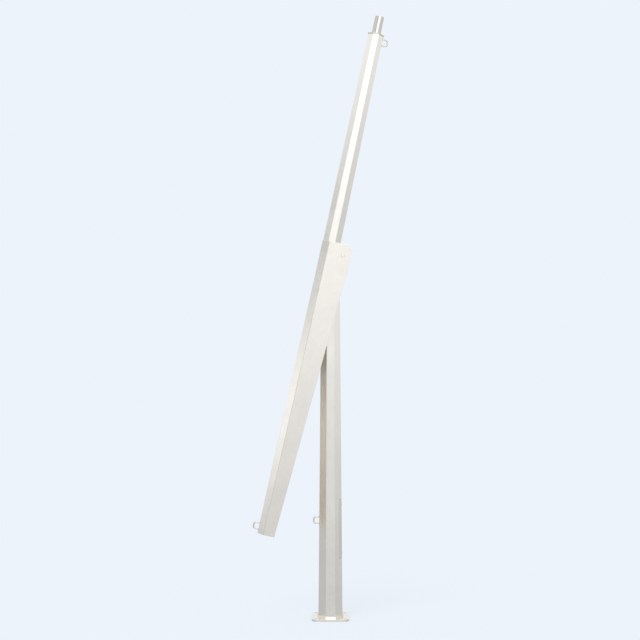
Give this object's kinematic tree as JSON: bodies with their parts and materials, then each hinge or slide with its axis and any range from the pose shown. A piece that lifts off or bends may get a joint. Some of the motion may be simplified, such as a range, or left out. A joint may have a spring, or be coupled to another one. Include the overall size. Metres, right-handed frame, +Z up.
{
  "type": "light pole",
  "caption": "Tilt-down light pole: eight-sided tapered post on a base plate, hinged arm whose open channel closes over the post, and a round lamp spigot.",
  "frame": {"origin": "centre of the anchor-hole pattern, on the underside of the base plate", "axes": "+Z up along the post; +X towards the side the arm's top leans to; +Y away from the front"},
  "size_m": [1.2392, 0.34, 5.5037],
  "materials": {
    "plate_steel": "satin",
    "weld_steel": "satin",
    "post_steel": "satin",
    "lock_steel": "semi-matt",
    "fitting_steel": "satin",
    "bush_bronze": "satin",
    "channel_steel": "satin",
    "pin_steel": "satin",
    "arm_steel": "satin",
    "spigot_steel": "satin"
  },
  "bodies": {
    "post": {"base_plate": "plate_steel", "base_weld": "weld_steel", "post_shaft": "post_steel", "post_top_plate": "plate_steel", "door_frame": "plate_steel", "door_cover": "post_steel", "door_lock_upper": "lock_steel", "door_lock_lower": "lock_steel", "post_ring": "fitting_steel", "hinge_sleeve": "fitting_steel", "hinge_lug_front": "plate_steel", "hinge_lug_rear": "plate_steel", "hinge_bush_front": "bush_bronze", "hinge_bush_rear": "bush_bronze"},
    "arm": {"arm_back": "channel_steel", "arm_cheek_front": "channel_steel", "arm_cheek_rear": "channel_steel", "arm_floor": "plate_steel", "arm_collar": "plate_steel", "pin_boss_front": "plate_steel", "pin_boss_rear": "plate_steel", "hinge_pin": "pin_steel", "pin_washer_front": "fitting_steel", "pin_washer_rear": "fitting_steel", "pin_collar_front": "fitting_steel", "pin_collar_rear": "fitting_steel", "arm_shaft": "arm_steel", "arm_cap": "plate_steel", "lamp_spigot": "spigot_steel", "arm_ring": "fitting_steel", "arm_top_ring": "fitting_steel"}
  },
  "joints": [
    {"name": "arm_tilt", "type": "hinge", "parent": "post", "child": "arm", "pos_m": [0.11067, 0, 3.31], "axis": [0, 1, 0], "range_deg": [-12, 153]}
  ]
}
